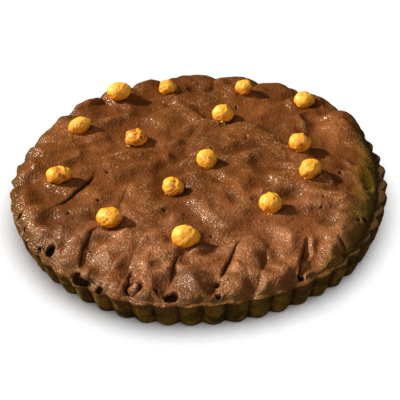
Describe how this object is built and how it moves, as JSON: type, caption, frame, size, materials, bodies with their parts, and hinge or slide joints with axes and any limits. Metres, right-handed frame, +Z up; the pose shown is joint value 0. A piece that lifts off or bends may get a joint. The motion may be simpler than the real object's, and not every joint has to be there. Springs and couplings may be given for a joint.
{
  "type": "tart",
  "caption": "Round chocolate tart: a fluted cocoa pastry case, a thick folded chocolate filling that laps over its rim, and whole roasted hazelnuts set into the top.",
  "frame": {"origin": "centre of the tart on the flat underside of the pastry case", "axes": "+Z up, the tart's front as shown towards -Y, +X to the right of that view"},
  "size_m": [0.2393, 0.2399, 0.0393],
  "materials": {
    "cocoa_pastry": null,
    "chocolate": null,
    "roasted_hazelnut": null
  },
  "bodies": {
    "root": {"pastry_case": "cocoa_pastry", "chocolate_filling": "chocolate", "hazelnut_01": "roasted_hazelnut", "hazelnut_02": "roasted_hazelnut", "hazelnut_03": "roasted_hazelnut", "hazelnut_04": "roasted_hazelnut", "hazelnut_05": "roasted_hazelnut", "hazelnut_06": "roasted_hazelnut", "hazelnut_07": "roasted_hazelnut", "hazelnut_08": "roasted_hazelnut", "hazelnut_09": "roasted_hazelnut", "hazelnut_10": "roasted_hazelnut", "hazelnut_11": "roasted_hazelnut", "hazelnut_12": "roasted_hazelnut", "hazelnut_13": "roasted_hazelnut", "hazelnut_14": "roasted_hazelnut", "hazelnut_15": "roasted_hazelnut"}
  },
  "joints": []
}
